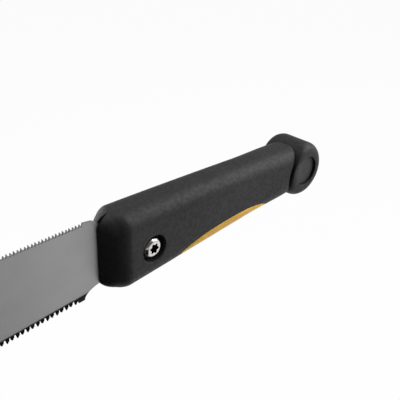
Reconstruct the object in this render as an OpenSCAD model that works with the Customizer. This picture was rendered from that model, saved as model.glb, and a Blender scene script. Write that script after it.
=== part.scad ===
// Double-edged pull saw: a replaceable blade clamped in a straight two-material handle
// X runs from the blade's tip to the butt, Z across the blade from coarse to fine teeth
// The origin is the middle of the handle, on the blade's centre plane

/* [Blade] */
// Length of the blade ahead of the handle
blade_l = 240; // [150:5:300]
// Height of the blade at the handle, from tooth tip to tooth tip
blade_h = 39.8; // [36:0.2:42]
// Gain in height of the fine edge per millimetre toward the tip
fine_flare = 0.03; // [0:0.005:0.05]
// Gain in height of the coarse edge per millimetre toward the tip
coarse_flare = 0.035; // [0:0.005:0.05]
// Thickness of the blade
blade_t = 0.9; // [0.7:0.05:1.2]
// Pitch of the fine teeth on the upper edge
fine_pitch = 1.69; // [1.5:0.01:2.2]
// Depth of the fine teeth
fine_d = 1.6; // [1.2:0.05:1.8]
// Pitch of the coarse teeth on the lower edge
coarse_pitch = 2.54; // [2.2:0.02:3.4]
// Depth of the coarse teeth
coarse_d = 2.4; // [1.8:0.1:2.8]
// Toothless length of the upper edge ahead of the handle
fine_land = 7.5; // [6:0.5:12]
// Toothless length of the lower edge ahead of the handle
coarse_land = 12; // [10:0.5:18]
// Radius of the two corners at the tip
tip_r = 8; // [3:0.5:14]
// Length of the tang inside the handle
tang_l = 58; // [55:1:62]

/* [Handle] */
// Length from the nose to the axis of the pommel
handle_l = 140.4; // [136:0.2:150]
// Height of the handle at the nose
front_h = 41; // [39:0.2:44]
// Height of the grip where it meets the pommel
rear_h = 28.2; // [26:0.2:30]
// Drop of the grip's middle line from the nose to the pommel
rear_drop = 0.8; // [0:0.1:1.2]
// Thickness of the handle at the nose
front_t = 23; // [22:0.2:26]
// Thickness of the grip's taper carried on to the pommel
waist_t = 20.6; // [20:0.2:22]
// Thickness of the flared end of the grip at the pommel
rear_t = 22.8; // [22:0.2:24]
// Length of the flare
flare_l = 30; // [20:1:40]
// Corner radius of the grip's section
corner_r = 8.8; // [7.6:0.1:9.4]
// Rounding of the nose seen from the side
nose_r = 8; // [7:0.2:11]
// Fullness of the nose seen from above, round at 2 and keener below it
nose_full = 1.5; // [1.4:0.1:2.2]
// Length of the cleft between the nose's two cheeks, above the blade
cleft_l = 9; // [7:0.1:11]
// Slope of the cleft in degrees
cleft_a = 54; // [48:1:60]
// Rounding of the two cheeks toward the cleft
cheek_r = 6.5; // [5:0.1:8]
// Wall of the soft sleeve
sleeve_t = 2.2; // [1.8:0.1:2.4]
// Width of the groove between the grip and the pommel
groove_w = 0.8; // [0.4:0.1:1.2]
// Depth of that groove
groove_d = 1.6; // [1.2:0.1:2]

/* [Window] */
// Length of the window on the underside
window_l = 71; // [60:0.5:80]
// Middle of the window along the handle
window_x = 5; // [2:0.2:9]
// Height of the window's crown above the underside
window_h = 9.2; // [7:0.1:10]
// Fullness of the window's outline, from an ellipse at 2 to a square one
window_full = 2.4; // [2:0.1:3]

/* [Pommel] */
// Diameter of the pommel
pommel_d = 31.4; // [30:0.2:33]
// Width of the pommel across the handle
pommel_w = 25.4; // [24:0.2:28]
// Rounding of the pommel's two rims
pommel_edge = 5.4; // [2:0.1:6.4]
// Drop of the pommel's axis below the handle's axis
pommel_drop = 1.4; // [0:0.1:2]
// Distance from the pommel's axis to its blunt front
pommel_front = 12.5; // [11.5:0.1:13.5]
// Radius of the blunt front, which the end of the grip follows
front_r = 22; // [20:0.5:40]
// Drop of the foremost line of that front below the handle's axis
front_drop = 5; // [3:0.5:8]
// Diameter of the plug in each side of the pommel
plug_d = 17; // [15:0.2:17.6]
// Depth of the plug's face below the pommel's side
plug_sink = 1.5; // [0.8:0.1:2]

/* [Clamp] */
// Distance of the clamp screw behind the nose
screw_back = 25; // [22:0.2:27]
// Drop of the clamp screw below the handle's axis
screw_drop = 2.4; // [0:0.1:3]
// Diameter of the clamp screw's shank
screw_d = 6; // [5:0.5:6]
// Diameter of the screw's head
head_d = 10.5; // [9.5:0.1:11]
// Height of the screw's domed head
head_h = 3.3; // [2.8:0.1:3.6]
// Depth of the head's crown below the handle's side
head_sink = 0.3; // [0.2:0.1:1.5]
// Thickness of the washer under the head
washer_t = 1.2; // [0.8:0.1:1.6]
// Six-lobed socket across its lobes
socket_out = 5.6; // [4.5:0.1:5.7]
// Six-lobed socket across its ridges
socket_in = 3.95; // [3.2:0.05:4.2]
// Diameter of the recess round the screw's head
recess_d = 14; // [13:0.1:15]
// Thickness of the two jaw plates beside the tang
jaw_t = 1.2; // [0.8:0.1:1.6]
// Length of the jaw plates
jaw_l = 29; // [24:1:32]
// Height of the jaw plates
jaw_h = 20; // [16:1:22]

/* [Hidden] */
$fn = 64;
// Clearance of a close fit, clearance round the tang, and a length that runs clear of the handle
fit = 0.05;
tang_gap = 0.2;
clear = 20;
nose_x = -handle_l / 2;
pommel_x = handle_l / 2;
tip_x = nose_x - blade_l;
grip_end = pommel_x - pommel_front - groove_w;
grip_over = 11;
taper_bow = 1.1;
core_in = sleeve_t + fit;
lip_t = 1.4;

// Blade and tang
slot_t = blade_t + 2 * fit;
tang_x = nose_x + tang_l;
tang_wall = 3.6;
tang_front = front_h / 2 - core_in - tang_wall;
tang_rear = half_h(tang_x) - core_in - tang_wall;
heel_in = 4.6;
heel_out = 8.2;
neck_l = 7.6;
land_d = 0.5;
tip_drop = 1;
tip_land = 3;
// Outline of a tooth as shares of the pitch and the depth, from the handle's side to the tip's
fine_tooth = [[0.1, 0], [0.72, 1], [0.95, 0]];
coarse_tooth = [[0.08, 0], [0.16, 0.5], [0.52, 1], [0.68, 0.92], [0.92, 0]];

// Clamp screw, washer and nut, set from the handle's side
screw_x = nose_x + screw_back;
screw_z = -screw_drop;
head_y = half_t(screw_x) - head_sink - head_h;
seat_y = head_y - washer_t;
washer_gap = 0.3;
washer_d = recess_d - 2 * washer_gap;
crown_d = 0.56 * head_d;
nut_flange_t = 2.4;
nut_y = half_t(screw_x) - head_sink - nut_flange_t;
nut_wall = 1.5;
nut_d = screw_d + 2 * nut_wall;
thread_end = 1;
socket_d = 2.6;
socket_turn = 52;

// Pin in the tang's fork
pin_d = screw_d;
pin_back = 12;
pin_wall = 2;
pin_x = tang_x - pin_back;
pin_half = half_t(pin_x) - core_in - pin_wall;

// Core screws
cs_d = 3;
cs_head_d = 5.6;
cs_head_h = 2;
cs_sink = 0.3;
cs_wall = 1.2;
cs_front = 9;
cs_back = 10;
cs_top = waist_t / 2 - core_in - cs_sink;
cs_tip = cs_top - cs_wall;
cs_first = tang_x + cs_front;
cs_last = grip_end - cs_back;
cs_x = [for (i = [0:2]) cs_first + i * (cs_last - cs_first) / 2];

// Tail of the core inside the pommel, and the pin across it
cross_d = 4;
plug_t = 2;
plug_floor = pommel_w / 2 - plug_sink - plug_t;
tail_wall = 1.6;
tail_d = 2 * (plug_floor - tail_wall);
tail_l = 6;
tail_x = pommel_x + tail_l;
tail_z = -pommel_drop;

// Share of the way from the nose to the end of the grip
function along(x) = (x - nose_x) / (grip_end - nose_x);
// Half the height and half the thickness of the grip, and its middle, at a station
function half_h(x) = (front_h + (rear_h - front_h) * pow(along(x), taper_bow)) / 2;
function flare(x) = soft(max(0, min(1, (x - grip_end + flare_l) / flare_l)));
function half_t(x) = (front_t + (waist_t - front_t) * along(x) + (rear_t - waist_t) * flare(x)) / 2;
function mid_z(x) = -rear_drop * pow(along(x), 2);
// Height of the underside at a station
function underside(x) = mid_z(x) - half_h(x);
// Height of a toothed edge above or below the axis: sign 1 is the fine edge, -1 the coarse one
function edge(x, sign) = blade_h / 2 + (sign > 0 ? fine_flare : coarse_flare) * (nose_x - x);
// Soft step from 0 to 1
function soft(u) = u * u * (3 - 2 * u);

// One rounded section across the handle
function ring(x, a, b, r) = [for (q = [0:3]) for (i = [0:7])
    let (t = q * 90 + i * 90 / 7, sy = (q == 0 || q == 3) ? 1 : -1, sz = q < 2 ? 1 : -1)
    [x, sy * (a - r) + r * cos(t), mid_z(x) + sz * (b - r) + r * sin(t)]];

// Sections of the round nose, set in from the outside by d
function nose_rings(d) = [for (a = [9, 18, 28, 38, 48, 58, 68, 79, 90])
    let (x = nose_x + d + (front_t / 2 - d) * (1 - cos(a)),
        w = (half_t(x) - d) * pow(1 - pow(cos(a), nose_full), 1 / nose_full))
    ring(x, w, half_h(x) - d - (nose_r - d) * (1 - sin(a)), min(corner_r - d, 0.97 * w))];

// Sections of the grip behind the nose, carried past the front of the pommel
function grip_rings(d) = let (x0 = nose_x + front_t / 2, x1 = grip_end - flare_l, x2 = grip_end + grip_over)
    [for (x = concat([for (i = [1:5]) x0 + (x1 - x0) * i / 5], [for (i = [1:7]) x1 + (x2 - x1) * i / 7]))
        ring(x, half_t(x) - d, half_h(x) - d, corner_r - d)];

// Skin over a row of sections
module skin(rings) {
    n = len(rings[0]);
    m = len(rings);
    points = [for (r = rings) each r];
    sides = [for (k = [0:m - 2]) for (i = [0:n - 1])
        let (a = k * n + i, b = k * n + (i + 1) % n)
        each [[a, a + n, b], [b, a + n, b + n]]];
    polyhedron(points, concat([[for (i = [0:n - 1]) i]], sides, [[for (i = [n - 1:-1:0]) (m - 1) * n + i]]));
}

// Handle's outside, set in by d
module body(d) {
    skin(concat(nose_rings(d), grip_rings(d)));
}

// Cleft between the cheeks above the blade, a groove that falls from the top to the front, set back by d
module cleft(d) {
    r = cheek_r - d;
    side = [for (a = [0:10:90]) [max(fit, cheek_r - r * cos(a)), r * sin(a)]];
    translate([nose_x + cleft_l, 0, front_h / 2])
        rotate([0, -cleft_a, 0])
            translate([-2 * clear, 0, -d])
                rotate([90, 0, 90])
                    linear_extrude(4 * clear)
                        polygon(concat(
                            side,
                            [[cheek_r, 2 * clear], [-cheek_r, 2 * clear]],
                            [for (i = [len(side) - 1:-1:0]) [-side[i][0], side[i][1]]]));
}

// Round bar whose foremost line is the blunt front of the pommel
module front_bar(gap) {
    across(pommel_x - pommel_front + front_r, -front_drop, 2 * (front_r + gap), -clear, clear, 180);
}

// Cylinder across the handle from y0 to y1
module across(x, z, d, y0, y1, sides = 64) {
    translate([x, y0, z])
        rotate([-90, 0, 0])
            cylinder(d = d, h = y1 - y0, $fn = sides);
}

// Plate of a given outline, centred on the blade's plane
module plate(t) {
    translate([0, t / 2, 0])
        rotate([90, 0, 0])
            linear_extrude(t)
                children();
}

// Long rounded bar that bounds the window and follows the taper of the underside
module window_bar(gap) {
    half = window_l / 2;
    plate(2 * clear)
        offset(delta = -gap)
            polygon(concat(
                [for (i = [0:32]) let (u = -cos(180 * i / 32), x = window_x + u * half)
                    [x, underside(x) + window_h * pow(1 - pow(abs(u), window_full), 1 / window_full)]],
                [[window_x + half, -2 * clear], [window_x - half, -2 * clear]]));
}

// Teeth of one edge as points from the handle to the tip
function teeth(start, pitch, depth, sign, tooth) =
    let (n = floor((start - tip_x - tip_r - tip_land) / pitch))
    [for (i = [0:n - 1]) for (p = tooth) let (x = start - (i + p[0]) * pitch)
        [x, sign * (edge(x, sign) - depth * (1 - p[1]))]];

// Corner of the tip, from angle a0 to a1
function tip_corner(sign, a0, a1) = [for (i = [0:8])
    let (a = a0 + (a1 - a0) * i / 8)
    [tip_x + tip_r - tip_r * cos(a), sign * (edge(tip_x + tip_r, sign) - tip_drop - tip_r + tip_r * sin(a))]];

// Upper and lower edges where the blade runs into its tang
upper_heel = [for (i = [0:8]) let (u = i / 8)
    [nose_x + heel_in - neck_l * u, tang_front + (edge(nose_x, 1) - land_d - tang_front) * soft(u)]];
lower_heel = concat([[nose_x - coarse_land + land_d, -edge(nose_x - coarse_land, -1)]],
    [for (i = [0:8]) let (a = 90 * i / 8, z = edge(nose_x - heel_out, -1))
        [nose_x - heel_out + (heel_in + heel_out) * (1 - cos(a)), -z + (z - tang_front) * sin(a)]]);

// Outline of the blade: tang, fine edge, tip, coarse edge
module blade_outline() {
    r = screw_d / 2 + tang_gap;
    lower = teeth(nose_x - coarse_land, coarse_pitch, coarse_d, -1, coarse_tooth);
    polygon(concat(
        [[tang_x, screw_z + r], [tang_x, tang_rear]],
        upper_heel,
        [[nose_x - fine_land + land_d, edge(nose_x - fine_land, 1)]],
        teeth(nose_x - fine_land, fine_pitch, fine_d, 1, fine_tooth),
        tip_corner(1, 90, 0),
        tip_corner(-1, 0, 90),
        [for (i = [len(lower) - 1:-1:0]) lower[i]],
        lower_heel,
        [[tang_x, -tang_rear], [tang_x, screw_z - r]],
        [for (a = [-90:-15:-270]) [screw_x + r * cos(a), screw_z + r * sin(a)]]));
}

// Space that the tang takes in the handle
module tang_space() {
    plate(slot_t)
        polygon(concat(
            [[tang_x + tang_gap, tang_rear + tang_gap]],
            [for (p = upper_heel) [p[0], p[1] + tang_gap]],
            [[nose_x - heel_out, edge(nose_x, 1)], [nose_x - heel_out, -edge(nose_x, -1)]],
            [for (p = lower_heel) if (p[0] > nose_x - heel_out) [p[0], p[1] - tang_gap]],
            [[tang_x + tang_gap, -tang_rear - tang_gap]]));
}

// Double-edged blade with a forked tang round the clamp screw
module saw_blade() {
    color([0.62, 0.63, 0.64])
        plate(blade_t)
            blade_outline();
}

// Soft black sleeve with the window, the blade slot and the two lipped screw recesses
module grip_sleeve() {
    color([0.10, 0.10, 0.11])
        difference() {
            union() {
                difference() {
                    body(0);
                    difference() {
                        body(sleeve_t);
                        cleft(sleeve_t);
                    }
                }
                intersection() {
                    body(fit);
                    union() {
                        across(screw_x, screw_z, recess_d + 2 * lip_t, -clear, -seat_y);
                        across(screw_x, screw_z, recess_d + 2 * lip_t, nut_y, clear);
                    }
                }
            }
            window_bar(0);
            front_bar(groove_w);
            cleft(0);
            tang_space();
            across(screw_x, screw_z, recess_d, -clear, -slot_t);
            across(screw_x, screw_z, recess_d, slot_t, clear);
        }
}

// Yellow core before it is split and drilled
module core_blank() {
    difference() {
        body(core_in);
        front_bar(groove_w);
        cleft(core_in);
    }
    intersection() {
        body(0);
        window_bar(fit);
    }
    translate([grip_end - tail_l, 0, tail_z])
        rotate([0, 90, 0])
            cylinder(d = tail_d, h = tail_x - grip_end + tail_l);
}

// One half of the core: side -1 is the near half, 1 the far half
module core_half(side) {
    intersection() {
        core_blank();
        translate([nose_x - clear, side > 0 ? fit / 2 : -2 * clear, -2 * clear])
            cube([2 * handle_l, 2 * clear - fit / 2, 4 * clear]);
    }
}

// What both core halves are cut with
module core_cuts() {
    tang_space();
    translate([screw_x - jaw_l / 2 - fit, -slot_t / 2 - jaw_t - fit, screw_z - jaw_h / 2 - fit])
        cube([jaw_l + 2 * fit, slot_t + 2 * jaw_t + 2 * fit, jaw_h + 2 * fit]);
    across(pin_x, screw_z, pin_d + 2 * fit, -pin_half - fit, pin_half + fit);
    across(pommel_x, -pommel_drop, cross_d + 2 * fit, -clear, clear);
}

// Near half of the core, with the seat of the clamp screw and the heads of the core screws
module core_near() {
    color([0.87, 0.60, 0.12])
        difference() {
            core_half(-1);
            core_cuts();
            across(screw_x, screw_z, recess_d + 2 * lip_t + 2 * fit, -clear, -seat_y);
            across(screw_x, screw_z, screw_d + 4 * fit, -clear, slot_t);
            for (x = cs_x) {
                across(x, 0, cs_head_d + 2 * fit, -clear, -cs_top + cs_head_h);
                across(x, 0, cs_d + 2 * fit, -clear, slot_t);
            }
        }
}

// Far half of the core, with the seat of the clamp nut and the holes of the core screws
module core_far() {
    color([0.87, 0.60, 0.12])
        difference() {
            core_half(1);
            core_cuts();
            across(screw_x, screw_z, recess_d + 2 * lip_t + 2 * fit, nut_y, clear);
            across(screw_x, screw_z, nut_d + 2 * fit, 0, clear);
            for (x = cs_x)
                across(x, 0, cs_d + 2 * fit, 0, cs_tip + fit);
        }
}

// One of the screws that hold the two core halves together under the sleeve
module core_screw(x) {
    color([0.55, 0.55, 0.57]) {
        across(x, 0, cs_head_d, -cs_top, -cs_top + cs_head_h - fit);
        across(x, 0, cs_d, -cs_top + cs_head_h / 2, cs_tip);
    }
}

// Core screw behind the tang
module core_screw_front() {
    core_screw(cs_x[0]);
}

// Core screw in the middle of the grip
module core_screw_mid() {
    core_screw(cs_x[1]);
}

// Core screw ahead of the pommel
module core_screw_rear() {
    core_screw(cs_x[2]);
}

// Steel jaw plate beside the tang
module jaw(side) {
    color([0.50, 0.51, 0.53])
        difference() {
            translate([screw_x - jaw_l / 2, side > 0 ? slot_t / 2 : -slot_t / 2 - jaw_t, screw_z - jaw_h / 2])
                cube([jaw_l, jaw_t, jaw_h]);
            across(screw_x, screw_z, screw_d + 4 * fit, -clear, clear);
        }
}

// Jaw plate on the screw's side
module jaw_near() {
    jaw(-1);
}

// Jaw plate on the nut's side
module jaw_far() {
    jaw(1);
}

// Pin in the tang's fork that keeps the blade in line
module locating_pin() {
    color([0.60, 0.60, 0.62])
        across(pin_x, screw_z, pin_d, -pin_half, pin_half);
}

// Six-lobed socket, cut from above the crown to its floor
module key_socket() {
    mean = (socket_out + socket_in) / 4;
    wave = (socket_out - socket_in) / 4;
    translate([screw_x, -head_y - head_h + socket_d, screw_z])
        rotate([90, 0, 0])
            linear_extrude(clear)
                polygon([for (a = [0:6:354]) let (r = mean + wave * cos(6 * (a - socket_turn)))
                    [r * cos(a), r * sin(a)]]);
}

// Domed clamp screw with a six-lobed socket
module clamp_screw() {
    edge_h = head_h / 4;
    dome = [for (a = [0:10:90]) [crown_d / 2 + (head_d - crown_d) / 2 * cos(a), edge_h + (head_h - edge_h) * sin(a)]];
    color([0.78, 0.78, 0.78])
        difference() {
            union() {
                across(screw_x, screw_z, screw_d, -head_y - edge_h, nut_y + nut_flange_t - thread_end);
                translate([screw_x, -head_y, screw_z])
                    rotate([90, 0, 0])
                        rotate_extrude()
                            polygon(concat([[0, 0], [head_d / 2, 0]], dome, [[0, head_h]]));
            }
            key_socket();
        }
}

// Captive washer under the screw's head
module clamp_washer() {
    color([0.16, 0.16, 0.17])
        difference() {
            across(screw_x, screw_z, washer_d, -head_y, -seat_y);
            across(screw_x, screw_z, screw_d + 2 * fit, -clear, clear);
        }
}

// Flanged sleeve nut that the clamp screw threads into
module clamp_nut() {
    color([0.45, 0.46, 0.48])
        difference() {
            union() {
                across(screw_x, screw_z, recess_d - 2 * fit, nut_y, nut_y + nut_flange_t);
                across(screw_x, screw_z, nut_d, slot_t / 2 + jaw_t + tang_gap, nut_y + thread_end);
            }
            across(screw_x, screw_z, screw_d + 2 * fit, -clear, clear);
        }
}

// Pommel: a drum across the handle with a blunt front that meets the grip in a groove
module pommel() {
    e = pommel_edge;
    w = pommel_w / 2;
    r = pommel_d / 2;
    color([0.10, 0.10, 0.11])
        difference() {
            union() {
                intersection() {
                    translate([pommel_x, 0, -pommel_drop])
                        rotate([90, 0, 0])
                            rotate_extrude($fn = 96)
                                polygon(concat(
                                    [[0, -w]],
                                    [for (a = [-90:15:0]) [r - e + e * cos(a), -w + e + e * sin(a)]],
                                    [for (a = [0:15:90]) [r - e + e * cos(a), w - e + e * sin(a)]],
                                    [[0, w]]));
                    front_bar(0);
                }
                intersection() {
                    skin([for (x = [grip_end - grip_over, grip_end + grip_over])
                        ring(x, rear_t / 2 - groove_d, rear_h / 2 - groove_d, corner_r - groove_d)]);
                    front_bar(groove_w);
                }
            }
            translate([grip_end - tail_l, 0, tail_z])
                rotate([0, 90, 0])
                    cylinder(d = tail_d + 2 * fit, h = tail_x - grip_end + tail_l + fit);
            across(pommel_x, -pommel_drop, cross_d + 2 * fit, -clear, clear);
            across(pommel_x, -pommel_drop, plug_d + 2 * fit, -clear, -plug_floor);
            across(pommel_x, -pommel_drop, plug_d + 2 * fit, plug_floor, clear);
        }
}

// Cross pin that holds the pommel on the core's tail
module pommel_pin() {
    color([0.60, 0.60, 0.62])
        across(pommel_x, -pommel_drop, cross_d, -plug_floor, plug_floor);
}

// Bare plug in the near side of the pommel
module plug_near() {
    color([0.13, 0.13, 0.14])
        across(pommel_x, -pommel_drop, plug_d, -plug_floor - plug_t, -plug_floor);
}

// Bare plug in the far side of the pommel
module plug_far() {
    color([0.13, 0.13, 0.14])
        across(pommel_x, -pommel_drop, plug_d, plug_floor, plug_floor + plug_t);
}

saw_blade();
grip_sleeve();
core_near();
core_far();
core_screw_front();
core_screw_mid();
core_screw_rear();
jaw_near();
jaw_far();
locating_pin();
clamp_screw();
clamp_washer();
clamp_nut();
pommel();
pommel_pin();
plug_near();
plug_far();
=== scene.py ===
"""Looks of a double-edged pull saw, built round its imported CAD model.

X runs from the blade's tip to the butt, Z from the coarse teeth to the fine teeth, and the
screw's head is on the -Y side. Sizes below are in millimetres; meshes are made in metres.
"""
import math

import bmesh
import bpy
import numpy as np
from mathutils import Matrix, Vector

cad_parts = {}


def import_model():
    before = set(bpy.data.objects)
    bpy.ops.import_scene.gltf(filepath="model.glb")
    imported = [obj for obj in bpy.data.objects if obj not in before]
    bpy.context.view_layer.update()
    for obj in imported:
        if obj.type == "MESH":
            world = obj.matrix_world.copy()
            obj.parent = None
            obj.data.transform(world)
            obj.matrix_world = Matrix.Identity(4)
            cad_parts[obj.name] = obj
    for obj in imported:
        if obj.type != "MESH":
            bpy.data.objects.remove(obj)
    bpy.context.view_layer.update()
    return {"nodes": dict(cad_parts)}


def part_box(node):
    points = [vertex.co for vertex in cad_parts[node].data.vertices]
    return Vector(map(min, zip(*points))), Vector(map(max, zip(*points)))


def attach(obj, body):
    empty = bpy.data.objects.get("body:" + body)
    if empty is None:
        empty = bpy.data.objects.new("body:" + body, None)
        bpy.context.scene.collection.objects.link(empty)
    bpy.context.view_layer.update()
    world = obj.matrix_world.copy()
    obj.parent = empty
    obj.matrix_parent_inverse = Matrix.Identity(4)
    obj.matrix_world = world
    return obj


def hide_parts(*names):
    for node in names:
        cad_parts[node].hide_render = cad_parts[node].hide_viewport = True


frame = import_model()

MM = 0.001

# Handle, the same sizes as the CAD source
NOSE_X = -70.2
POMMEL_X = 70.2
FRONT_H, REAR_H, TAPER_BOW = 41.0, 28.2, 1.1
FRONT_T, WAIST_T, REAR_T, FLARE_L = 23.0, 20.6, 22.8, 30.0
REAR_DROP = 0.8
CORNER_R, NOSE_R, NOSE_FULL = 8.8, 8.0, 1.5
CLEFT_L, CLEFT_SLOPE, CHEEK_R = 9.0, math.radians(54), 6.5
FIT = 0.05  # room between two pieces
HUB = 0.05  # radius at which a turned face closes
SLEEVE_T = 2.2
GROOVE_W, GROOVE_D = 0.8, 1.6
WINDOW_L, WINDOW_X, WINDOW_H, WINDOW_FULL = 71.0, 5.0, 9.2, 2.4

# Pommel
POMMEL_R, POMMEL_HALF, POMMEL_EDGE, POMMEL_Z = 15.7, 12.7, 5.4, -1.4
POMMEL_FRONT, FRONT_R, FRONT_Z = 12.5, 22.0, -5.0
PLUG_R, PLUG_SINK, PLUG_T = 8.5, 1.5, 2.0
GRIP_END = POMMEL_X - POMMEL_FRONT - GROOVE_W
FRONT_CX = POMMEL_X - POMMEL_FRONT + FRONT_R
PLUG_FLOOR = POMMEL_HALF - PLUG_SINK - PLUG_T
TAIL_WALL, TAIL_L, CROSS_R = 1.6, 6.0, 2.0
TAIL_R = PLUG_FLOOR - TAIL_WALL

# Blade
BLADE_L, BLADE_H, BLADE_T = 240.0, 39.8, 0.9
FINE = dict(pitch=1.69, depth=1.6, land=7.5, flare=0.03, sign=1,
            shape=((0.1, 0), (0.72, 1), (0.95, 0)))
COARSE = dict(pitch=2.54, depth=2.4, land=12.0, flare=0.035, sign=-1,
              shape=((0.08, 0), (0.16, 0.5), (0.52, 1), (0.68, 0.92), (0.92, 0)))
TIP_R, TIP_DROP, TIP_LAND = 8.0, 1.0, 3.0
TANG_L, TANG_EDGE = 58.0, 5.85
TANG_X = NOSE_X + TANG_L
TANG_FRONT = FRONT_H / 2 - TANG_EDGE
HEEL_IN, HEEL_OUT, LAND_D = 4.6, 8.2, 0.5
NECK_L = 7.6
TOOTH_SINK, TOOTH_SET, TOOTH_BEVEL, TOOTH_TOP = 0.12, 0.08, 0.05, 0.06
FORK_R = 3.2

# Clamp screw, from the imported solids
SCREW_LO, SCREW_HI = [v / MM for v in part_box("clamp_screw")]
SCREW_X, SCREW_Z = (SCREW_LO.x + SCREW_HI.x) / 2, (SCREW_LO.z + SCREW_HI.z) / 2
WASHER_LO, WASHER_HI = [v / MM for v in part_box("clamp_washer")]
NUT_LO, NUT_HI = [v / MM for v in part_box("clamp_nut")]
HEAD_R, CROWN_R, SHANK_R = 5.25, 2.94, 3.0
RECESS_R, RECESS_OUT, LIP_T, HEAD_GAP = 7.0, 10.4, 1.4, 0.02
FLANGE_T, NUT_SLEEVE_R = 2.4, 4.5
LOBE_OUT, LOBE_IN, LOBE_TURN, SOCKET_D = 2.8, 1.98, 52.0, 2.6


def along(x):
    """Share of the way from the nose to the end of the grip."""
    return np.clip((np.asarray(x, float) - NOSE_X) / (GRIP_END - NOSE_X), 0, None)


def soft(u):
    """Soft step from 0 to 1."""
    u = np.clip(u, 0, 1)
    return u * u * (3 - 2 * u)


def half_h(x):
    """Half the height of the handle at x."""
    return (FRONT_H + (REAR_H - FRONT_H) * along(x) ** TAPER_BOW) / 2


def half_t(x):
    """Half the thickness of the handle at x."""
    flare = soft((np.asarray(x, float) - GRIP_END + FLARE_L) / FLARE_L)
    return (FRONT_T + (WAIST_T - FRONT_T) * along(x) + (REAR_T - WAIST_T) * flare) / 2


def mid_z(x):
    """Height of the handle's middle line at x."""
    return -REAR_DROP * along(x) ** 2


def saddle_x(z, gap):
    """Place of the pommel's blunt front, moved forward by a gap, at height z."""
    return FRONT_CX - np.sqrt((FRONT_R + gap) ** 2 - (np.asarray(z, float) - FRONT_Z) ** 2)


def section_template(corner_steps, side_steps, top_steps):
    """Corner centre signs and outward normals of the points round one rounded section."""
    rows = []
    for sy, sz, start, steps in ((1, 1, 0, top_steps), (-1, 1, 90, side_steps),
                                 (-1, -1, 180, top_steps), (1, -1, 270, side_steps)):
        for i in range(corner_steps + 1):
            t = math.radians(start + 90 * i / corner_steps)
            rows.append((sy, sz, math.cos(t), math.sin(t)))
        end = math.radians(start + 90)
        for i in range(1, steps):
            k = 1 - 2 * i / steps
            cy, cz = (sy * k, sz) if start % 180 == 0 else (sy, sz * k)
            rows.append((cy, cz, math.cos(end), math.sin(end)))
    return np.array(rows).T


def section(shape, x, a, b, r):
    """Points of one section; x and the half sizes may differ from point to point."""
    cy, cz, ny, nz = shape
    x = np.broadcast_to(np.asarray(x, float), cy.shape)
    return np.stack([x, cy * (a - r) + r * ny, mid_z(x) + cz * (b - r) + r * nz], 1)


def nose_sections(shape, inset, angles):
    """Sections of the bull nose from its tip to full size."""
    rings = []
    for angle in angles:
        s, c = math.sin(math.radians(angle)), math.cos(math.radians(angle))
        x = NOSE_X + inset + (FRONT_T / 2 - inset) * (1 - c)
        w = (half_t(x) - inset) * (1 - c ** NOSE_FULL) ** (1 / NOSE_FULL)
        h = half_h(x) - inset - (NOSE_R - inset) * (1 - s)
        rings.append(section(shape, x, w, h, min(CORNER_R - inset, 0.97 * w)))
    return rings


def grip_sections(shape, inset, steps, gap, end_round=0.0, round_steps=0):
    """Sections of the grip behind the nose, which end on the saddle of the pommel's front."""
    start = NOSE_X + FRONT_T / 2
    rings = []

    def ring(share, back, more):
        d = inset + more
        end = np.full(shape.shape[1], GRIP_END)
        for _ in range(4):
            points = section(shape, end, half_t(end) - d, half_h(end) - d, CORNER_R - d)
            end = saddle_x(points[:, 2], gap) - back
        x = start + share * (end - start)
        return section(shape, x, half_t(x) - d, half_h(x) - d, CORNER_R - d)

    for i in range(1, steps + 1):
        rings.append(ring(i / steps, end_round, 0))
    for i in range(1, round_steps + 1):
        t = math.radians(90 * i / round_steps)
        rings.append(ring(1, end_round * (1 - math.sin(t)), end_round * (1 - math.cos(t))))
    return rings


def new_object(name, bm):
    """Object at the origin from a bmesh in millimetres, with closed and outward faces."""
    bmesh.ops.remove_doubles(bm, verts=bm.verts, dist=1e-4)
    bmesh.ops.recalc_face_normals(bm, faces=bm.faces)
    bmesh.ops.scale(bm, vec=(MM, MM, MM), verts=bm.verts)
    mesh = bpy.data.meshes.new(name)
    bm.to_mesh(mesh)
    bm.free()
    obj = bpy.data.objects.new(name, mesh)
    bpy.context.scene.collection.objects.link(obj)
    return obj


def loft(name, rings, capped=True):
    """Skin over a row of rings with the same number of points, closed by caps at its ends."""
    bm = bmesh.new()
    rows = [[bm.verts.new(p) for p in ring] for ring in rings]
    n = len(rows[0])
    for a, b in zip(rows, rows[1:]):
        for i in range(n):
            j = (i + 1) % n
            bm.faces.new((a[i], a[j], b[j], b[i]))
    if capped:
        bm.faces.new(rows[0])
        bm.faces.new(rows[-1][::-1])
    return new_object(name, bm)


def turned(name, profile, x, z, steps=96, capped=True):
    """Solid turned about a Y axis through (x, z) from rows of (radius, y); a ring has no caps."""
    rings = []
    for r, y in profile:
        t = np.arange(steps) * 2 * math.pi / steps
        rings.append(np.stack([x + r * np.cos(t), np.full(steps, y), z + r * np.sin(t)], 1))
    return loft(name, rings, capped)


def plate(name, outline, t):
    """Flat plate of an outline in X and Z, centred on the blade's plane."""
    rings = [[(x, y, z) for x, z in outline] for y in (-t / 2, t / 2)]
    return loft(name, rings)


def bake(obj):
    """Turns an object's modifiers into its plain mesh."""
    graph = bpy.context.evaluated_depsgraph_get()
    mesh = bpy.data.meshes.new_from_object(obj.evaluated_get(graph))
    obj.modifiers.clear()
    obj.data = mesh
    return obj


def boolean(obj, other, operation="DIFFERENCE"):
    """Cuts or joins an object with another, which is used up."""
    step = obj.modifiers.new("boolean", "BOOLEAN")
    step.operation, step.solver, step.object = operation, "MANIFOLD", other
    bake(obj)
    bpy.data.objects.remove(other)
    return obj


def smooth(obj, angle=32):
    """Smooth shading with creases sharper than an angle kept."""
    obj.data.shade_smooth()
    obj.data.set_sharp_from_angle(angle=math.radians(angle))
    return obj


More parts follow.
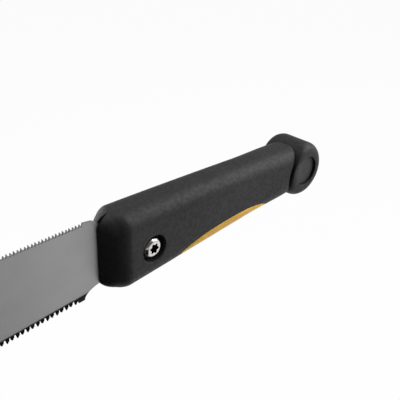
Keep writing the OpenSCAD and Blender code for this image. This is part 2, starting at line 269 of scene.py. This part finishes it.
def finish_piece(obj, node, body, material):
    """Gives a piece its finish and sets it in place of a CAD node."""
    obj.data.materials.clear()
    obj.data.materials.append(material)
    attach(obj, body)
    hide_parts(node)
    return obj


# Materials

class Shader:
    """A node material whose parts are added by short calls."""

    def __init__(self, name):
        self.material = bpy.data.materials.new(name)
        self.material.use_nodes = True
        self.tree = self.material.node_tree
        self.surface = self.tree.nodes["Principled BSDF"]
        self.place = self.add("ShaderNodeTexCoord").outputs["Object"]

    def add(self, kind, **values):
        node = self.tree.nodes.new(kind)
        for key, value in values.items():
            setattr(node, key, value)
        return node

    def feed(self, socket, value):
        if isinstance(value, bpy.types.NodeSocket):
            self.tree.links.new(value, socket)
        else:
            socket.default_value = value

    def set(self, **values):
        for key, value in values.items():
            self.feed(self.surface.inputs[key.replace("_", " ")], value)

    def mapped(self, scale=(1, 1, 1), turn=(0, 0, 0), move=(0, 0, 0)):
        node = self.add("ShaderNodeMapping")
        self.feed(node.inputs["Vector"], self.place)
        node.inputs["Scale"].default_value = scale
        node.inputs["Rotation"].default_value = turn
        node.inputs["Location"].default_value = move
        return node.outputs["Vector"]

    def noise(self, scale, detail=3.0, roughness=0.5, vector=None):
        node = self.add("ShaderNodeTexNoise")
        self.feed(node.inputs["Vector"], vector or self.place)
        node.inputs["Scale"].default_value = scale
        node.inputs["Detail"].default_value = detail
        node.inputs["Roughness"].default_value = roughness
        return node.outputs["Fac"]

    def math(self, operation, a, b=0.0, c=0.0):
        node = self.add("ShaderNodeMath", operation=operation)
        for socket, value in zip(node.inputs, (a, b, c)):
            self.feed(socket, value)
        return node.outputs[0]

    def span(self, value, low, high, out_low=0.0, out_high=1.0):
        node = self.add("ShaderNodeMapRange", interpolation_type="SMOOTHSTEP")
        for socket, given in zip(node.inputs, (value, low, high, out_low, out_high)):
            self.feed(socket, given)
        return node.outputs["Result"]

    def mix(self, share, a, b):
        node = self.add("ShaderNodeMix", data_type="RGBA")
        self.feed(node.inputs["Factor"], share)
        self.feed(node.inputs["A"], (*a, 1) if isinstance(a, tuple) else a)
        self.feed(node.inputs["B"], (*b, 1) if isinstance(b, tuple) else b)
        return node.outputs["Result"]

    def bump(self, height, distance, strength=1.0, below=None):
        node = self.add("ShaderNodeBump")
        node.inputs["Strength"].default_value = strength
        node.inputs["Distance"].default_value = distance
        self.feed(node.inputs["Height"], height)
        if below is not None:
            self.feed(node.inputs["Normal"], below)
        return node.outputs["Normal"]


def soft_black(name, dark, pale, rough):
    """Soft moulded black with a fine matt grain and a faint bloom."""
    s = Shader(name)
    bloom = s.span(s.noise(scale=38, detail=4, roughness=0.6), 0.35, 0.7)
    grain = s.noise(scale=2300, detail=2, roughness=0.6)
    mottle = s.span(s.noise(scale=520, detail=3, roughness=0.65), 0.36, 0.64)
    tone = s.math("MULTIPLY_ADD", mottle, 0.3, s.math("MULTIPLY", bloom, 0.35))
    tone = s.math("MULTIPLY_ADD", grain, 0.35, tone)
    s.set(Base_Color=s.mix(tone, dark, pale))
    s.set(Roughness=s.span(mottle, 0.0, 1.0, rough + 0.04, rough - 0.04))
    coarse = s.bump(mottle, 0.00005, 0.5)
    s.set(Normal=s.bump(grain, 0.00006, 0.55, coarse))
    s.set(Specular_IOR_Level=0.32)
    return s.material


def amber_plastic():
    """Satin amber plastic of the core."""
    s = Shader("amber plastic")
    deep, light = (0.80, 0.42, 0.022), (0.92, 0.53, 0.038)
    cloud = s.span(s.noise(scale=55, detail=3, roughness=0.55), 0.3, 0.7)
    s.set(Base_Color=s.mix(cloud, deep, light))
    s.set(Roughness=s.span(s.noise(scale=700, detail=2), 0.2, 0.8, 0.36, 0.48))
    s.set(Normal=s.bump(s.noise(scale=1500, detail=2), 0.00002, 0.3))
    s.set(Specular_IOR_Level=0.3)
    return s.material


def blade_steel():
    """Satin ground steel whose coarse edge is hardened black."""
    s = Shader("blade steel")
    grey, pale, glint = (0.27, 0.27, 0.273), (0.31, 0.31, 0.31), (0.44, 0.44, 0.44)
    straw_tint, burnt_black = (0.20, 0.17, 0.145), (0.006, 0.006, 0.006)
    lines = s.noise(1.0, detail=4, roughness=0.65, vector=s.mapped(scale=(60, 60, 5200)))
    cloud = s.span(s.noise(scale=30, detail=4, roughness=0.6), 0.25, 0.75)
    split = s.add("ShaderNodeSeparateXYZ")
    s.feed(split.inputs[0], s.place)
    fall = s.math("MULTIPLY_ADD", split.outputs["X"], -COARSE["flare"],
                  (BLADE_H / 2 + COARSE["flare"] * NOSE_X) * MM)
    above_tips = s.math("ADD", split.outputs["Z"], fall)
    uneven = s.math("MULTIPLY_ADD", s.noise(scale=420, detail=3), 0.0005, above_tips)
    burnt = s.span(uneven, 0.0031, 0.0036, 1, 0)
    straw = s.span(uneven, 0.0034, 0.0046, 0.4, 0)
    metal = s.mix(s.math("MULTIPLY", lines, 0.35), s.mix(cloud, grey, pale), glint)
    tinted = s.mix(straw, metal, straw_tint)
    s.set(Base_Color=s.mix(burnt, tinted, burnt_black))
    s.set(Metallic=0.9)
    s.set(Roughness=s.span(lines, 0.2, 0.8, 0.34, 0.44))
    s.set(Normal=s.bump(lines, 0.000012, 0.2))
    return s.material


def tooth_steel(name, face, dark, metallic):
    """Ground teeth, with fine grinding marks across each facet."""
    s = Shader(name)
    marks = s.noise(1.0, detail=3, roughness=0.6, vector=s.mapped(scale=(5200, 900, 900)))
    s.set(Base_Color=s.mix(s.span(marks, 0.25, 0.75), dark, face))
    s.set(Metallic=metallic)
    s.set(Roughness=s.span(marks, 0.2, 0.8, 0.24, 0.4))
    s.set(Normal=s.bump(marks, 0.00001, 0.3))
    s.set(Specular_IOR_Level=0.5 * metallic + 0.02)
    return s.material


def turned_steel(name, dark, pale, rough, shaded_pit=None):
    """Steel with fine rings left by the lathe round the screw's axis; a pit, given by the radius of
    its mouth and its lowest and highest Y, is painted black inside, as painted shade in the recess."""
    s = Shader(name)
    split = s.add("ShaderNodeSeparateXYZ")
    s.feed(split.inputs[0], s.mapped(move=(-SCREW_X * MM, 0, -SCREW_Z * MM)))
    square = s.math("MULTIPLY_ADD", split.outputs["X"], split.outputs["X"],
                    s.math("MULTIPLY", split.outputs["Z"], split.outputs["Z"]))
    radius = s.math("SQRT", square)
    ring_phase = 42000  # radians per metre outward
    rings = s.math("SINE", s.math("MULTIPLY", radius, ring_phase))
    scuff = s.noise(scale=1100, detail=4, roughness=0.65)
    metal = s.mix(s.span(scuff, 0.25, 0.75), dark, pale)
    if shaded_pit:
        mouth, low, high = [v * MM for v in shaded_pit]
        # painted shade: the pit's walls go black a short fade below its mouth, standing in for the shade in
        # the socket
        depth, fade, pit_shade = split.outputs["Y"], 0.3 * MM, (0.006, 0.006, 0.006)
        shaded_inside = s.math("MULTIPLY", s.math("LESS_THAN", radius, mouth), s.math("LESS_THAN", depth, high))
        shaded_inside = s.math("MULTIPLY", shaded_inside, s.span(depth, low, low + fade))
        metal = s.mix(shaded_inside, metal, pit_shade)
    s.set(Base_Color=metal)
    s.set(Metallic=1.0)
    s.set(Roughness=s.span(scuff, 0.2, 0.8, rough - 0.06, rough + 0.1))
    height = s.math("MULTIPLY_ADD", rings, 0.3, scuff)
    s.set(Normal=s.bump(height, 0.000012, 0.3))
    return s.material


grip_black = soft_black("grip black", dark=(0.007, 0.007, 0.0073), pale=(0.026, 0.026, 0.0265), rough=0.58)
plug_black = soft_black("plug black", dark=(0.032, 0.032, 0.033), pale=(0.064, 0.064, 0.065), rough=0.56)
amber = amber_plastic()
blade_metal = blade_steel()
fine_tooth_metal = tooth_steel("fine tooth steel", face=(0.30, 0.30, 0.30), dark=(0.17, 0.17, 0.17),
                               metallic=0.95)
coarse_tooth_metal = tooth_steel("hardened tooth steel", face=(0.006, 0.006, 0.0065),
                                 dark=(0.003, 0.003, 0.003), metallic=0.0)
# the screw's socket gets painted shade: black inside its lobes
screw_metal = turned_steel("bright screw steel", dark=(0.55, 0.54, 0.52), pale=(0.80, 0.79, 0.77), rough=0.2,
                           shaded_pit=(LOBE_OUT + 0.1, SCREW_LO.y + 0.05, WASHER_LO.y))
nut_metal = turned_steel("nut steel", dark=(0.36, 0.36, 0.365), pale=(0.55, 0.55, 0.55), rough=0.3)
plain_metal = tooth_steel("plain steel", face=(0.50, 0.50, 0.50), dark=(0.32, 0.32, 0.33), metallic=0.95)
black_oxide = turned_steel("black oxide", dark=(0.012, 0.012, 0.012), pale=(0.03, 0.03, 0.03), rough=0.4)


# Handle

GRIP_SHAPE = section_template(corner_steps=12, side_steps=12, top_steps=4)


def edge_z(x, row):
    """Height of a row of tooth tips from the axis at x."""
    return row["sign"] * (BLADE_H / 2 + row["flare"] * (NOSE_X - x))


def upper_heel(gap=0.0):
    """Upper edge of the blade where it runs into the tang."""
    top = edge_z(NOSE_X, FINE) - LAND_D
    return [(NOSE_X + HEEL_IN - NECK_L * u, TANG_FRONT + (top - TANG_FRONT) * soft(u) + gap)
            for u in np.linspace(0, 1, 17)]


def lower_heel(gap=0.0):
    """Lower edge of the blade, a hollow curve from the land to the tang."""
    low = edge_z(NOSE_X - HEEL_OUT, COARSE)
    return [(NOSE_X - HEEL_OUT + (HEEL_IN + HEEL_OUT) * (1 - math.cos(a)),
             low + (-TANG_FRONT - low) * math.sin(a) - gap)
            for a in np.linspace(0, math.pi / 2, 17)]


def tang_cutter():
    """Slot that the blade enters, from ahead of the nose to the end of the tang."""
    gap, taper, room = 0.2, 3.0, 0.1
    back = TANG_FRONT - taper
    heel = [p for p in lower_heel(gap) if p[0] > NOSE_X - HEEL_OUT]
    outline = ([(TANG_X, back)] + upper_heel(gap) + [(NOSE_X - HEEL_OUT, BLADE_H / 2),
               (NOSE_X - HEEL_OUT, -BLADE_H / 2)] + heel + [(TANG_X, -back)])
    return plate("tang cutter", outline, BLADE_T + room)


def recess_cutter(side, seat):
    """Round recess with a softly rounded mouth in the handle's side."""
    mouth = side * half_t(SCREW_X)
    edge, past = 0.55, 3
    profile = [(0.0, side * seat), (RECESS_R, side * seat)]
    for t in np.linspace(0, math.pi / 2, 7):
        profile.append((RECESS_R + edge * (1 - math.cos(t)), mouth - side * edge * (1 - math.sin(t))))
    profile += [(RECESS_R + edge, mouth + side * past), (0.0, mouth + side * past)]
    return turned("recess cutter", profile, SCREW_X, SCREW_Z)


def window_cutter():
    """Long rounded window on the underside, which follows the handle's taper."""
    u = -np.cos(np.linspace(0, math.pi, 73))
    x = WINDOW_X + u * WINDOW_L / 2
    arch = np.maximum(1 - np.abs(u) ** WINDOW_FULL, 0) ** (1 / WINDOW_FULL)
    z = mid_z(x) - half_h(x) + WINDOW_H * arch
    past = 40
    return plate("window cutter", list(zip(x, z)) + [(x[-1], -past), (x[0], -past)], past)


def cleft_cutter(d):
    """Sloping groove that parts the nose's cheeks from the top to the front, set back by d."""
    r, reach, half = CHEEK_R - d, 30.0, 40.0
    side = [(r * math.sin(a), max(FIT, CHEEK_R - r * math.cos(a)))
            for a in np.linspace(0, math.pi / 2, 17)]
    profile = [(rise, -y) for rise, y in side] + [(reach, -CHEEK_R), (reach, CHEEK_R)] + side[::-1]
    c, s = math.cos(CLEFT_SLOPE), math.sin(CLEFT_SLOPE)
    rings = []
    for run in np.linspace(-half, half, 61):
        x, z = NOSE_X + CLEFT_L + run * c, FRONT_H / 2 + run * s
        rings.append([(x - (rise - d) * s, y, z + (rise - d) * c) for rise, y in profile])
    return loft("cleft cutter", rings)


def sleeve():
    """Soft sleeve: a thick shell with recesses, a blade slot and the arched window."""
    nose = list(np.linspace(5, 90, 24))
    outer = nose_sections(GRIP_SHAPE, 0, nose)
    outer += grip_sections(GRIP_SHAPE, 0, 62, GROOVE_W, 0.7, 5)
    inner = nose_sections(GRIP_SHAPE, SLEEVE_T, nose[::3] + [90])
    inner += grip_sections(GRIP_SHAPE, SLEEVE_T, 24, GROOVE_W)
    obj = loft("sleeve", outer + inner[::-1])
    near_seat, far_seat = -WASHER_HI.y, NUT_LO.y + FIT
    for side, seat in ((-1, near_seat), (1, far_seat)):
        wall = [(0.0, side * seat), (RECESS_R + LIP_T, side * seat),
                (RECESS_R + LIP_T, side * RECESS_OUT), (0.0, side * RECESS_OUT)]
        boolean(obj, turned("recess wall", wall, SCREW_X, SCREW_Z), "UNION")
        boolean(obj, recess_cutter(side, seat - 1))
    under = 0.1
    block = nose_sections(GRIP_SHAPE, under, nose) + grip_sections(GRIP_SHAPE, under, 24, GROOVE_W)
    cheek_wall = boolean(loft("cleft wall", block), cleft_cutter(SLEEVE_T), "INTERSECT")
    boolean(obj, cheek_wall, "UNION")
    boolean(obj, cleft_cutter(0))
    boolean(obj, window_cutter())
    boolean(obj, tang_cutter())
    smooth(obj, 30)
    return finish_piece(obj, "grip_sleeve", "handle", grip_black)


def core(node):
    """Core half: the CAD solid with its facets smoothed."""
    source = frame["nodes"][node]
    bm = bmesh.new()
    bm.from_mesh(source.data)
    bmesh.ops.remove_doubles(bm, verts=bm.verts, dist=1e-6)
    mesh = bpy.data.meshes.new(node)
    bm.to_mesh(mesh)
    bm.free()
    obj = bpy.data.objects.new(node + "_shown", mesh)
    bpy.context.scene.collection.objects.link(obj)
    smooth(obj, 24)
    return finish_piece(obj, node, "handle", amber)


def pommel_rings():
    """Rings of the pommel from the floor of one plug pocket to the other, about its own axis."""
    steps, far = 200, 1e3
    turn = np.arange(steps) * 2 * math.pi / steps
    front_dx = FRONT_CX - POMMEL_X
    front_dz = FRONT_Z - POMMEL_Z

    def outline(drum_in, front_in):
        c, s = np.cos(turn), np.sin(turn)
        b = c * front_dx + s * front_dz
        reach = front_dx ** 2 + front_dz ** 2 - (FRONT_R - front_in) ** 2
        front = b + np.sqrt(np.maximum(b * b - reach, 0))
        front = np.where(front > 0, front, far)
        drum = POMMEL_R - drum_in
        blend = 1.6
        h = np.clip(0.5 + 0.5 * (front - drum) / blend, 0, 1)
        return front * (1 - h) + drum * h - blend * h * (1 - h)

    pocket, lip, rim, front_ease = PLUG_R + FIT, 0.3, PLUG_R + 0.4, 0.3
    rows = [(np.full(steps, r), -PLUG_FLOOR) for r in (HUB, pocket)]
    for t in np.linspace(0, math.pi / 2, 5):
        rows.append((np.full(steps, pocket + lip * (1 - math.cos(t))),
                     -POMMEL_HALF + lip * (1 - math.sin(t))))
    face = [(outline(POMMEL_EDGE * (1 - math.sin(t)), front_ease * (1 - math.sin(t))),
             -POMMEL_HALF + POMMEL_EDGE * (1 - math.cos(t))) for t in np.linspace(0, math.pi / 2, 14)]
    rows += [(np.maximum(r, rim), y) for r, y in face]
    rows += [(r, -y) for r, y in rows[::-1]]
    return [np.stack([POMMEL_X + r * np.cos(turn), np.full(steps, y), POMMEL_Z + r * np.sin(turn)], 1)
            for r, y in rows]


def tail_cutter():
    """Round socket in the pommel, which takes the core's tail."""
    steps, r = 64, TAIL_R + FIT
    t = np.arange(steps) * 2 * math.pi / steps
    rings = [np.stack([np.full(steps, x), r * np.cos(t), POMMEL_Z + r * np.sin(t)], 1)
             for x in (GRIP_END - TAIL_L, POMMEL_X + TAIL_L + FIT)]
    return loft("tail cutter", rings)


def pommel():
    """Pommel: a drum with a blunt front, plug pockets and a short neck to the grip."""
    obj = loft("pommel_drum", pommel_rings())
    neck_shape = section_template(corner_steps=12, side_steps=4, top_steps=4)
    d, short, sunk = GROOVE_D, 0.02, 2.0
    neck = []
    for gap in (GROOVE_W - short, -sunk):
        x = np.full(neck_shape.shape[1], GRIP_END)
        for _ in range(3):
            points = section(neck_shape, x, REAR_T / 2 - d, REAR_H / 2 - d, CORNER_R - d)
            x = saddle_x(points[:, 2], gap)
        neck.append(section(neck_shape, x, REAR_T / 2 - d, REAR_H / 2 - d, CORNER_R - d))
    boolean(obj, loft("neck", neck), "UNION")
    boolean(obj, tail_cutter())
    past = PLUG_FLOOR + 1
    hole = [(HUB, -past), (CROSS_R + FIT, -past), (CROSS_R + FIT, past), (HUB, past)]
    boolean(obj, turned("pin hole cutter", hole, POMMEL_X, POMMEL_Z))
    smooth(obj, 30)
    return finish_piece(obj, "pommel", "handle", grip_black)


def plug(node, side):
    """Bare disc with a faint dish and a rounded edge."""
    face = POMMEL_HALF - PLUG_SINK
    back = face - PLUG_T
    edge, dish = 0.35, 0.25
    profile = [(HUB, side * back), (PLUG_R, side * back), (PLUG_R, side * (face - edge))]
    for t in np.linspace(0, math.pi / 2, 6)[1:]:
        profile.append((PLUG_R - edge * (1 - math.cos(t)), side * (face - edge * (1 - math.sin(t)))))
    for r in np.linspace(PLUG_R - edge, HUB, 14)[1:]:
        profile.append((r, side * (face - dish * (1 - (r / PLUG_R) ** 2))))
    obj = turned(node + "_disc", profile, POMMEL_X, POMMEL_Z, 128)
    smooth(obj, 40)
    return finish_piece(obj, node, "handle", plug_black)


# Blade

def blade():
    """Blade plate with straight root lines, on which the teeth stand."""
    tip_x = NOSE_X - BLADE_L

    def root(row, x):
        return edge_z(x, row) - row["sign"] * row["depth"]

    def tip_corner(row, angles):
        x0 = tip_x + TIP_R
        top = edge_z(x0, row) - row["sign"] * TIP_DROP
        return [(x0 - TIP_R * math.cos(a), top - row["sign"] * TIP_R * (1 - math.sin(a)))
                for a in angles]

    fine_x, coarse_x = NOSE_X - FINE["land"], NOSE_X - COARSE["land"]
    last_x = tip_x + TIP_R + TIP_LAND
    quarter = np.linspace(0, math.pi / 2, 17)
    fork = [(SCREW_X + FORK_R * math.cos(a), SCREW_Z + FORK_R * math.sin(a))
            for a in np.linspace(-math.pi / 2, -1.5 * math.pi, 25)]
    back = float(half_h(TANG_X)) - TANG_EDGE
    outline = [(TANG_X, SCREW_Z + FORK_R), (TANG_X, back)] + upper_heel()
    outline += [(fine_x + LAND_D, edge_z(fine_x, FINE)), (fine_x, root(FINE, fine_x)),
                (last_x, root(FINE, last_x))]
    outline += tip_corner(FINE, quarter[::-1]) + tip_corner(COARSE, quarter)
    outline += [(last_x, root(COARSE, last_x)), (coarse_x, root(COARSE, coarse_x)),
                (coarse_x + LAND_D, edge_z(coarse_x, COARSE))]
    outline += lower_heel() + [(TANG_X, -back), (TANG_X, SCREW_Z - FORK_R)] + fork
    obj = plate("blade_plate", outline, BLADE_T)
    return finish_piece(obj, "saw_blade", "blade", blade_metal)


def tooth(name, row, side):
    """One tooth with bevelled flanks, set to one side; its root is sunk into the plate."""
    pitch, depth = row["pitch"], row["depth"]
    tip = max(row["shape"], key=lambda point: point[1])[0]
    rings = []
    for face, bevel, top in ((side, 0.0, 0.0), (-side, TOOTH_BEVEL, TOOTH_TOP)):
        ring = []
        for share, rise in row["shape"]:
            x = -pitch * (share + bevel * np.sign(tip - share))
            y = face * BLADE_T / 2 + side * TOOTH_SET * rise
            z = depth * rise * (1 - top * rise) if rise else -TOOTH_SINK
            ring.append((x, y, row["sign"] * z))
        rings.append(ring)
    return loft(name, rings)


def tooth_row_tree(name):
    """Node tree that stands teeth, set left and right in turn, along a sloping edge."""
    tree = bpy.data.node_groups.new(name, "GeometryNodeTree")
    face = tree.interface
    sockets = {}
    for label, kind in (("Count", "Int"), ("Start", "Vector"), ("Step", "Vector"),
                        ("Left tooth", "Object"), ("Right tooth", "Object"), ("Material", "Material")):
        sockets[label] = face.new_socket(label, in_out="INPUT", socket_type="NodeSocket" + kind)
    face.new_socket("Geometry", in_out="OUTPUT", socket_type="NodeSocketGeometry")
    nodes, links = tree.nodes, tree.links
    given = nodes.new("NodeGroupInput")
    line = nodes.new("GeometryNodeMeshLine")
    links.new(given.outputs["Count"], line.inputs["Count"])
    links.new(given.outputs["Start"], line.inputs["Start Location"])
    links.new(given.outputs["Step"], line.inputs["Offset"])
    index = nodes.new("GeometryNodeInputIndex")
    odd = nodes.new("ShaderNodeMath")
    odd.operation = "MODULO"
    odd.inputs[1].default_value = 2
    links.new(index.outputs[0], odd.inputs[0])
    even = nodes.new("ShaderNodeMath")
    even.operation = "SUBTRACT"
    even.inputs[0].default_value = 1
    links.new(odd.outputs[0], even.inputs[1])
    join = nodes.new("GeometryNodeJoinGeometry")
    for label, chosen in (("Left tooth", odd), ("Right tooth", even)):
        info = nodes.new("GeometryNodeObjectInfo")
        links.new(given.outputs[label], info.inputs["Object"])
        stand = nodes.new("GeometryNodeInstanceOnPoints")
        links.new(line.outputs["Mesh"], stand.inputs["Points"])
        links.new(chosen.outputs[0], stand.inputs["Selection"])
        links.new(info.outputs["Geometry"], stand.inputs["Instance"])
        links.new(stand.outputs["Instances"], join.inputs["Geometry"])
    real = nodes.new("GeometryNodeRealizeInstances")
    links.new(join.outputs[0], real.inputs[0])
    paint = nodes.new("GeometryNodeSetMaterial")
    links.new(real.outputs[0], paint.inputs["Geometry"])
    links.new(given.outputs["Material"], paint.inputs["Material"])
    result = nodes.new("NodeGroupOutput")
    links.new(paint.outputs["Geometry"], result.inputs["Geometry"])
    return tree, {label: s.identifier for label, s in sockets.items()}


def teeth(name, row, tree, ids, material):
    """A whole row of teeth as one plain mesh."""
    start_x = NOSE_X - row["land"]
    count = math.floor((start_x - (NOSE_X - BLADE_L) - TIP_R - TIP_LAND) / row["pitch"])
    root = edge_z(start_x, row) - row["sign"] * row["depth"]
    left, right = tooth(name + "_left", row, 1), tooth(name + "_right", row, -1)
    obj = bpy.data.objects.new(name, bpy.data.meshes.new(name))
    bpy.context.scene.collection.objects.link(obj)
    step = obj.modifiers.new("teeth", "NODES")
    step.node_group = tree
    step[ids["Count"]] = count
    step[ids["Start"]] = (start_x * MM, 0, root * MM)
    step[ids["Step"]] = (-row["pitch"] * MM, 0, row["sign"] * row["flare"] * row["pitch"] * MM)
    step[ids["Left tooth"]] = left
    step[ids["Right tooth"]] = right
    step[ids["Material"]] = material
    bake(obj)
    for part in (left, right):
        bpy.data.objects.remove(part)
    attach(obj, "blade")
    return obj


# Clamp

def socket_cutter(crown):
    """Six-lobed socket with a coned floor."""
    steps, lobes, cone, tip_share = 96, 6, 0.8, 0.05
    t = np.arange(steps) * 2 * math.pi / steps
    wave = np.cos(lobes * (t - math.radians(LOBE_TURN)))
    lobe = (LOBE_OUT + LOBE_IN) / 2 + (LOBE_OUT - LOBE_IN) / 2 * wave
    rings = []
    for share, y in ((1, crown - 1), (1, crown + SOCKET_D), (tip_share, crown + SOCKET_D + cone)):
        r = share * lobe
        rings.append(np.stack([SCREW_X + r * np.cos(t), np.full(steps, y), SCREW_Z + r * np.sin(t)], 1))
    return loft("socket cutter", rings)


def clamp_screw():
    """Domed screw with a six-lobed socket."""
    head_base, crown = WASHER_LO.y, SCREW_LO.y
    height = head_base - crown
    edge = height / 4
    tip, chamfer, head_chamfer = SCREW_HI.y, 0.6, 0.15
    profile = [(HUB, tip), (SHANK_R - chamfer, tip), (SHANK_R, tip - chamfer), (SHANK_R, head_base),
               (HEAD_R - head_chamfer, head_base), (HEAD_R, head_base - head_chamfer)]
    for t in np.linspace(0, math.pi / 2, 22):
        profile.append((CROWN_R + (HEAD_R - CROWN_R) * math.cos(t),
                        head_base - edge - (height - edge) * math.sin(t)))
    profile += [(HUB, crown)]
    obj = turned("screw_body", profile, SCREW_X, SCREW_Z, 128)
    boolean(obj, socket_cutter(crown))
    smooth(obj, 28)
    return finish_piece(obj, "clamp_screw", "screw", screw_metal)


def clamp_washer():
    """Flat washer with chamfered outer edges, a hair below the screw's head."""
    bore, rim, c = SHANK_R + FIT, (WASHER_HI.x - WASHER_LO.x) / 2, 0.25
    front, back = WASHER_LO.y + HEAD_GAP, WASHER_HI.y
    rows = [(bore, front), (rim - c, front), (rim, front + c), (rim, back - c), (rim - c, back),
            (bore, back), (bore, front)]
    obj = turned("washer_ring", rows, SCREW_X, SCREW_Z, 128, capped=False)
    smooth(obj, 30)
    return finish_piece(obj, "clamp_washer", "washer", black_oxide)


def clamp_nut():
    """Flanged sleeve nut, with a chamfer round its flange and bore."""
    bore, flange_r, c = SHANK_R + FIT, (NUT_HI.x - NUT_LO.x) / 2, 0.4
    inner, outer = NUT_LO.y, NUT_HI.y
    seat = outer - FLANGE_T
    rows = [(bore, inner), (NUT_SLEEVE_R, inner), (NUT_SLEEVE_R, seat), (flange_r, seat),
            (flange_r, outer - c), (flange_r - c, outer), (bore + c, outer), (bore, outer - c),
            (bore, inner)]
    obj = turned("nut_body", rows, SCREW_X, SCREW_Z, 128, capped=False)
    smooth(obj, 30)
    return finish_piece(obj, "clamp_nut", "handle", nut_metal)


sleeve()
core("core_near")
core("core_far")
pommel()
plug("plug_near", -1)
plug("plug_far", 1)
blade()
row_tree, row_ids = tooth_row_tree("tooth row")
teeth("fine_teeth", FINE, row_tree, row_ids, fine_tooth_metal)
teeth("coarse_teeth", COARSE, row_tree, row_ids, coarse_tooth_metal)
clamp_screw()
clamp_washer()
clamp_nut()
for hidden in ("core_screw_front", "core_screw_mid", "core_screw_rear", "jaw_near", "jaw_far",
               "locating_pin", "pommel_pin"):
    solid = frame["nodes"][hidden].data
    solid.materials.clear()
    solid.materials.append(plain_metal)


# Stage

FILL, SKY, DARK = 0.2, 0.42, 0.2  # light on the saw, sky in reflections, share left before the nose
FLOOR_Z, FLOOR_HALF, FLAG_Z = -320, 3000, -300
CAMERA_PLACE, CAMERA_TURN = (-229.57, -210.63, 177.73), (29.5, 43, 2)


def sheet(name, corners, z, material):
    """Flat sheet of the stage at a height."""
    bm = bmesh.new()
    bm.faces.new([bm.verts.new((x, y, z)) for x, y in corners])
    obj = new_object(name, bm)
    obj.data.materials.append(material)
    return obj


def floor():
    """Pale floor well below the saw, white to the camera."""
    s = Shader("floor white")
    diffuse = s.add("ShaderNodeBsdfDiffuse")
    diffuse.inputs["Color"].default_value = (0.8, 0.8, 0.8, 1)
    white = s.add("ShaderNodeEmission")
    path = s.add("ShaderNodeLightPath")
    seen = s.math("MAXIMUM", path.outputs["Is Camera Ray"], path.outputs["Is Transmission Ray"])
    seen = s.math("MAXIMUM", seen, path.outputs["Is Glossy Ray"])
    white_seen, white_else = 0.96, 0.5
    share = s.math("MAXIMUM", s.math("MULTIPLY", seen, white_seen), white_else)
    blend = s.add("ShaderNodeMixShader")
    s.feed(blend.inputs[0], share)
    s.feed(blend.inputs[1], diffuse.outputs[0])
    s.feed(blend.inputs[2], white.outputs[0])
    s.feed(s.tree.nodes["Material Output"].inputs["Surface"], blend.outputs[0])
    h = FLOOR_HALF
    sheet("floor", ((-h, -h), (h, -h), (h, h), (-h, h)), FLOOR_Z, s.material)


def flag():
    """Dark card out of the picture, which keeps the floor's light off the nose."""
    s = Shader("flag black")
    s.set(Base_Color=(0.004, 0.004, 0.004, 1), Roughness=1.0, Specular_IOR_Level=0.0)
    corners = ((-60, -60), (40, -516), (160, -1100), (-1500, -1100), (-1500, 700), (-160, 500))
    card = sheet("flag", corners, FLAG_Z, s.material)
    card.visible_camera = card.visible_shadow = card.visible_transmission = False


def world():
    """White behind and beside the saw, and a dark room in front of its nose."""
    sky = bpy.data.worlds.new("studio")
    bpy.context.scene.world = sky
    sky.use_nodes = True
    nodes, links = sky.node_tree.nodes, sky.node_tree.links
    shade = nodes["Background"]
    shade.inputs["Color"].default_value = (1, 1, 1, 1)
    place = nodes.new("ShaderNodeTexCoord")
    toward = nodes.new("ShaderNodeVectorMath")
    toward.operation = "DOT_PRODUCT"
    links.new(place.outputs["Generated"], toward.inputs[0])
    bright_side, dark_to, bright_from = Vector((0.75, 0.35, 0.3)), -0.15, 0.6
    toward.inputs[1].default_value = bright_side.normalized()
    side = nodes.new("ShaderNodeMapRange")
    side.interpolation_type = "SMOOTHSTEP"
    links.new(toward.outputs["Value"], side.inputs["Value"])
    for socket, value in zip(side.inputs[1:5], (dark_to, bright_from, DARK, 1.0)):
        socket.default_value = value
    path = nodes.new("ShaderNodeLightPath")

    def maths(operation, a, b):
        node = nodes.new("ShaderNodeMath")
        node.operation = operation
        for socket, value in zip(node.inputs, (a, b)):
            if isinstance(value, float):
                socket.default_value = value
            else:
                links.new(value, socket)
        return node.outputs[0]

    glossy = maths("MULTIPLY", path.outputs["Is Glossy Ray"], SKY - FILL)
    level = maths("MULTIPLY", side.outputs["Result"], maths("ADD", glossy, FILL))
    seen = maths("MAXIMUM", path.outputs["Is Camera Ray"], path.outputs["Is Transmission Ray"])
    links.new(maths("MAXIMUM", level, seen), shade.inputs["Strength"])


def lamp(name, place, aim, size, power):
    """Soft square lamp at a place, turned to what it lights (millimetres)."""
    data = bpy.data.lights.new(name, "AREA")
    data.shape, data.size, data.energy = "SQUARE", size * MM, power
    obj = bpy.data.objects.new(name, data)
    bpy.context.scene.collection.objects.link(obj)
    obj.location = Vector(place) * MM
    obj.rotation_euler = (Vector(aim) - Vector(place)).to_track_quat("-Z", "Y").to_euler()


def camera():
    """Camera fitted to the photograph."""
    data = bpy.data.cameras.new("camera")
    data.sensor_fit, data.sensor_width, data.lens = "HORIZONTAL", 36, 63
    data.clip_start = 0.01
    obj = bpy.data.objects.new("camera", data)
    bpy.context.scene.collection.objects.link(obj)
    tilt, heading, roll = [math.radians(v) for v in CAMERA_TURN]
    cos_h, sin_h = math.cos(heading), math.sin(heading)
    cos_t, sin_t = math.cos(tilt), math.sin(tilt)
    right = Vector((sin_h, -cos_h, 0))
    up = Vector((cos_h * sin_t, sin_h * sin_t, cos_t))
    ahead = Vector((cos_h * cos_t, sin_h * cos_t, -sin_t))
    across = right * math.cos(roll) + up * math.sin(roll)
    upright = up * math.cos(roll) - right * math.sin(roll)
    turn = Matrix((across, upright, -ahead)).transposed()
    obj.matrix_world = Matrix.Translation(Vector(CAMERA_PLACE) * MM) @ turn.to_4x4()
    bpy.context.scene.camera = obj


floor()
flag()
world()
lamp("key", place=(700, -430, 540), aim=(0, 0, 0), size=900, power=10.5)
lamp("top", place=(200, 250, 900), aim=(0, 0, 0), size=700, power=1.5)
lamp("back", place=(-120, 650, 160), aim=(-60, 0, 10), size=400, power=2.2)
lamp("front top", place=(-250, 120, 700), aim=(60, 0, 0), size=300, power=0.9)
camera()
bpy.context.scene.view_settings.view_transform = "Standard"
